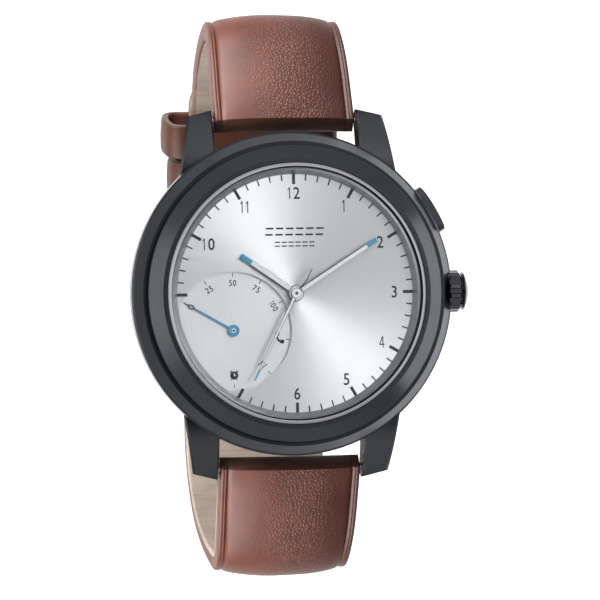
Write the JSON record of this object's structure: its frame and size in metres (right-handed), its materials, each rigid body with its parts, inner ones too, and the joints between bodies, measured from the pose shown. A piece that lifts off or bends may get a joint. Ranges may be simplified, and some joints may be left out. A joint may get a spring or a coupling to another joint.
{
  "type": "smartwatch",
  "caption": "Round hybrid analogue smartwatch with a black case, silver dial, notification sub-dial, crown, side pusher and a buckled padded leather strap.",
  "frame": {"origin": "centre of the case back's flat outer face", "axes": "+Z out through the dial and crystal, +Y towards 12 o'clock, +X towards the crown at 3 o'clock"},
  "size_m": [0.0465, 0.078, 0.0391],
  "materials": {
    "case_plating": "satin dark grey ion plating with a slight blue cast",
    "crown_plating": "satin dark grey ion plating, fluted",
    "case_back_steel": "circular brushed stainless steel",
    "steel": "fine turned stainless steel",
    "crystal": "clear mineral glass with a polished bevel",
    "gasket_rubber": "matt nitrile rubber",
    "rehaut": "polished silver inner bezel",
    "dial": "silver sunray lacquer",
    "sub_dial": "silver circular grained lacquer",
    "movement_plastic": "moulded off-white plastic",
    "plate_nickel": "nickel-plated brass, fine grained",
    "motor_steel": "annealed soft-magnetic sheet",
    "copper": "enamelled copper winding",
    "circuit_board": "green solder resist",
    "chips": "black moulded chip packages",
    "battery_steel": "nickel-plated can",
    "contact_brass": "gold-flashed spring strip",
    "insulator": "amber polyimide film",
    "tungsten": "sintered tungsten alloy",
    "gear_brass": "gilt brass",
    "magnet": "nickel-plated magnet",
    "hand_silver": "silver hands with blue painted tips",
    "pointer_blue": "blue lacquer",
    "strap_leather": "chestnut pebbled leather with a waxed sheen",
    "strap_lining": "beige creased calf lining",
    "padding": "felt and foam filler"
  },
  "bodies": {
    "watch": {"mid_case": "case_plating", "bezel": "case_plating", "crystal": "crystal", "gaskets": "gasket_rubber", "rehaut_ring": "rehaut", "dial_plate": "dial", "sub_dial_plate": "sub_dial", "movement_ring": "movement_plastic", "main_plate": "plate_nickel", "train_bridge": "plate_nickel", "motor_stators": "motor_steel", "motor_coils": "copper", "circuit_board": "circuit_board", "board_components": "chips", "battery": "battery_steel", "battery_clip": "contact_brass", "battery_insulator": "insulator", "vibration_motor_can": "steel", "case_back": "case_back_steel", "case_back_screws": "steel", "movement_screws": "steel", "case_tubes": "steel", "spring_bar_tubes": "steel", "spring_bar_springs": "steel", "strap_upper_leather": "strap_leather", "strap_upper_lining": "strap_lining", "strap_lower_leather": "strap_leather", "strap_lower_lining": "strap_lining", "strap_padding": "padding", "fixed_keeper": "strap_leather", "buckle_bar": "case_plating"},
    "setting_lever": {"setting_lever": "contact_brass"},
    "crown": {"crown": "crown_plating", "crown_stem": "steel"},
    "pusher": {"pusher": "case_plating", "pusher_clip": "steel", "pusher_spring": "steel"},
    "vibration_rotor": {"vibration_rotor": "tungsten"},
    "minute_hand": {"minute_hand": "hand_silver", "centre_wheel": "gear_brass"},
    "minute_wheel": {"minute_wheel": "gear_brass"},
    "hour_hand": {"hour_hand": "hand_silver", "hour_wheel": "gear_brass"},
    "second_hand": {"second_hand": "hand_silver", "second_wheel": "gear_brass"},
    "sub_dial_pointer": {"sub_dial_pointer": "pointer_blue", "pointer_wheel": "gear_brass"},
    "minute_idler": {"minute_idler": "gear_brass"},
    "second_idler": {"second_idler": "gear_brass"},
    "pointer_idler": {"pointer_idler": "gear_brass"},
    "minute_rotor": {"minute_rotor": "magnet"},
    "second_rotor": {"second_rotor": "magnet"},
    "pointer_rotor": {"pointer_rotor": "magnet"},
    "upper_bar_pin_left": {"upper_bar_pin_left": "steel"},
    "upper_bar_pin_right": {"upper_bar_pin_right": "steel"},
    "lower_bar_pin_left": {"lower_bar_pin_left": "steel"},
    "lower_bar_pin_right": {"lower_bar_pin_right": "steel"},
    "free_keeper": {"free_keeper": "strap_leather"},
    "buckle_frame": {"buckle_frame": "case_plating"},
    "buckle_tongue": {"buckle_tongue": "case_plating"}
  },
  "joints": [
    {"name": "crown_pull", "type": "slide", "parent": "watch", "child": "setting_lever", "axis": [1, 0, 0], "range_m": [0, 0.0009]},
    {"name": "crown_turn", "type": "hinge", "parent": "setting_lever", "child": "crown", "pos_m": [0.02, 0, 0.0055], "axis": [1, 0, 0], "continuous": true},
    {"name": "pusher_press", "type": "slide", "parent": "watch", "child": "pusher", "axis": [-0.866, -0.5, 0], "range_m": [0, 0.0006], "stiffness_N_per_m": 800, "springref_m": -0.0004, "deforming": ["pusher_spring"]},
    {"name": "vibration_spin", "type": "hinge", "parent": "watch", "child": "vibration_rotor", "pos_m": [0, 0.01275, 0.003], "axis": [0, 0, 1], "continuous": true},
    {"name": "minute_turn", "type": "hinge", "parent": "watch", "child": "minute_hand", "pos_m": [0, 0, 0.009], "axis": [0, 0, 1], "continuous": true},
    {"name": "minute_wheel_turn", "type": "hinge", "parent": "watch", "child": "minute_wheel", "pos_m": [0.003, 0, 0.008], "axis": [0, 0, 1], "continuous": true},
    {"name": "hour_turn", "type": "hinge", "parent": "watch", "child": "hour_hand", "pos_m": [0, 0, 0.009], "axis": [0, 0, 1], "continuous": true},
    {"name": "minute_idler_turn", "type": "hinge", "parent": "watch", "child": "minute_idler", "pos_m": [0.00168, 0.00291, 0.0065], "axis": [0, 0, 1], "continuous": true},
    {"name": "minute_rotor_turn", "type": "hinge", "parent": "watch", "child": "minute_rotor", "pos_m": [0.00312, 0.0054, 0.0065], "axis": [0, 0, 1], "continuous": true},
    {"name": "second_turn", "type": "hinge", "parent": "watch", "child": "second_hand", "pos_m": [0, 0, 0.009], "axis": [0, 0, 1], "continuous": true},
    {"name": "second_idler_turn", "type": "hinge", "parent": "watch", "child": "second_idler", "pos_m": [0.00238, -0.00238, 0.0065], "axis": [0, 0, 1], "continuous": true},
    {"name": "second_rotor_turn", "type": "hinge", "parent": "watch", "child": "second_rotor", "pos_m": [0.00441, -0.00441, 0.0065], "axis": [0, 0, 1], "continuous": true},
    {"name": "pointer_turn", "type": "hinge", "parent": "watch", "child": "sub_dial_pointer", "pos_m": [-0.0085, -0.0049, 0.0087], "axis": [0, 0, 1], "range_deg": [-240, 0]},
    {"name": "pointer_idler_turn", "type": "hinge", "parent": "watch", "child": "pointer_idler", "pos_m": [-0.00792, -0.00159, 0.0065], "axis": [0, 0, 1], "range_deg": [0, 1440]},
    {"name": "pointer_rotor_turn", "type": "hinge", "parent": "watch", "child": "pointer_rotor", "pos_m": [-0.00842, 0.00125, 0.0065], "axis": [0, 0, 1], "range_deg": [-7200, 0]},
    {"name": "buckle_open", "type": "hinge", "parent": "watch", "child": "buckle_frame", "pos_m": [0, 0.01, -0.0232], "axis": [1, 0, 0], "range_deg": [0, 6]},
    {"name": "tongue_lift", "type": "hinge", "parent": "buckle_frame", "child": "buckle_tongue", "pos_m": [0, 0.01, -0.0232], "axis": [1, 0, 0], "range_deg": [0, 7.5]},
    {"name": "keeper_slide", "type": "slide", "parent": "watch", "child": "free_keeper", "axis": [0, 0.9579, 0.287], "range_m": [0, 0.0035]},
    {"name": "upper_bar_left_press", "type": "slide", "parent": "watch", "child": "upper_bar_pin_left", "axis": [1, 0, 0], "range_m": [0, 0.0012], "stiffness_N_per_m": 600, "springref_m": -0.001, "deforming": ["spring_bar_springs"]},
    {"name": "upper_bar_right_press", "type": "slide", "parent": "watch", "child": "upper_bar_pin_right", "axis": [-1, 0, 0], "range_m": [0, 0.0012], "stiffness_N_per_m": 600, "springref_m": -0.001},
    {"name": "lower_bar_left_press", "type": "slide", "parent": "watch", "child": "lower_bar_pin_left", "axis": [1, 0, 0], "range_m": [0, 0.0012], "stiffness_N_per_m": 600, "springref_m": -0.001},
    {"name": "lower_bar_right_press", "type": "slide", "parent": "watch", "child": "lower_bar_pin_right", "axis": [-1, 0, 0], "range_m": [0, 0.0012], "stiffness_N_per_m": 600, "springref_m": -0.001}
  ],
  "couplings": [
    {"joint": "minute_wheel_turn", "follows": "minute_turn", "ratio": -0.33333},
    {"joint": "hour_turn", "follows": "minute_turn", "ratio": 0.083333},
    {"joint": "minute_idler_turn", "follows": "minute_turn", "ratio": -6},
    {"joint": "minute_rotor_turn", "follows": "minute_turn", "ratio": 30},
    {"joint": "second_idler_turn", "follows": "second_turn", "ratio": -6},
    {"joint": "second_rotor_turn", "follows": "second_turn", "ratio": 30},
    {"joint": "pointer_idler_turn", "follows": "pointer_turn", "ratio": -6},
    {"joint": "pointer_rotor_turn", "follows": "pointer_turn", "ratio": 30}
  ]
}
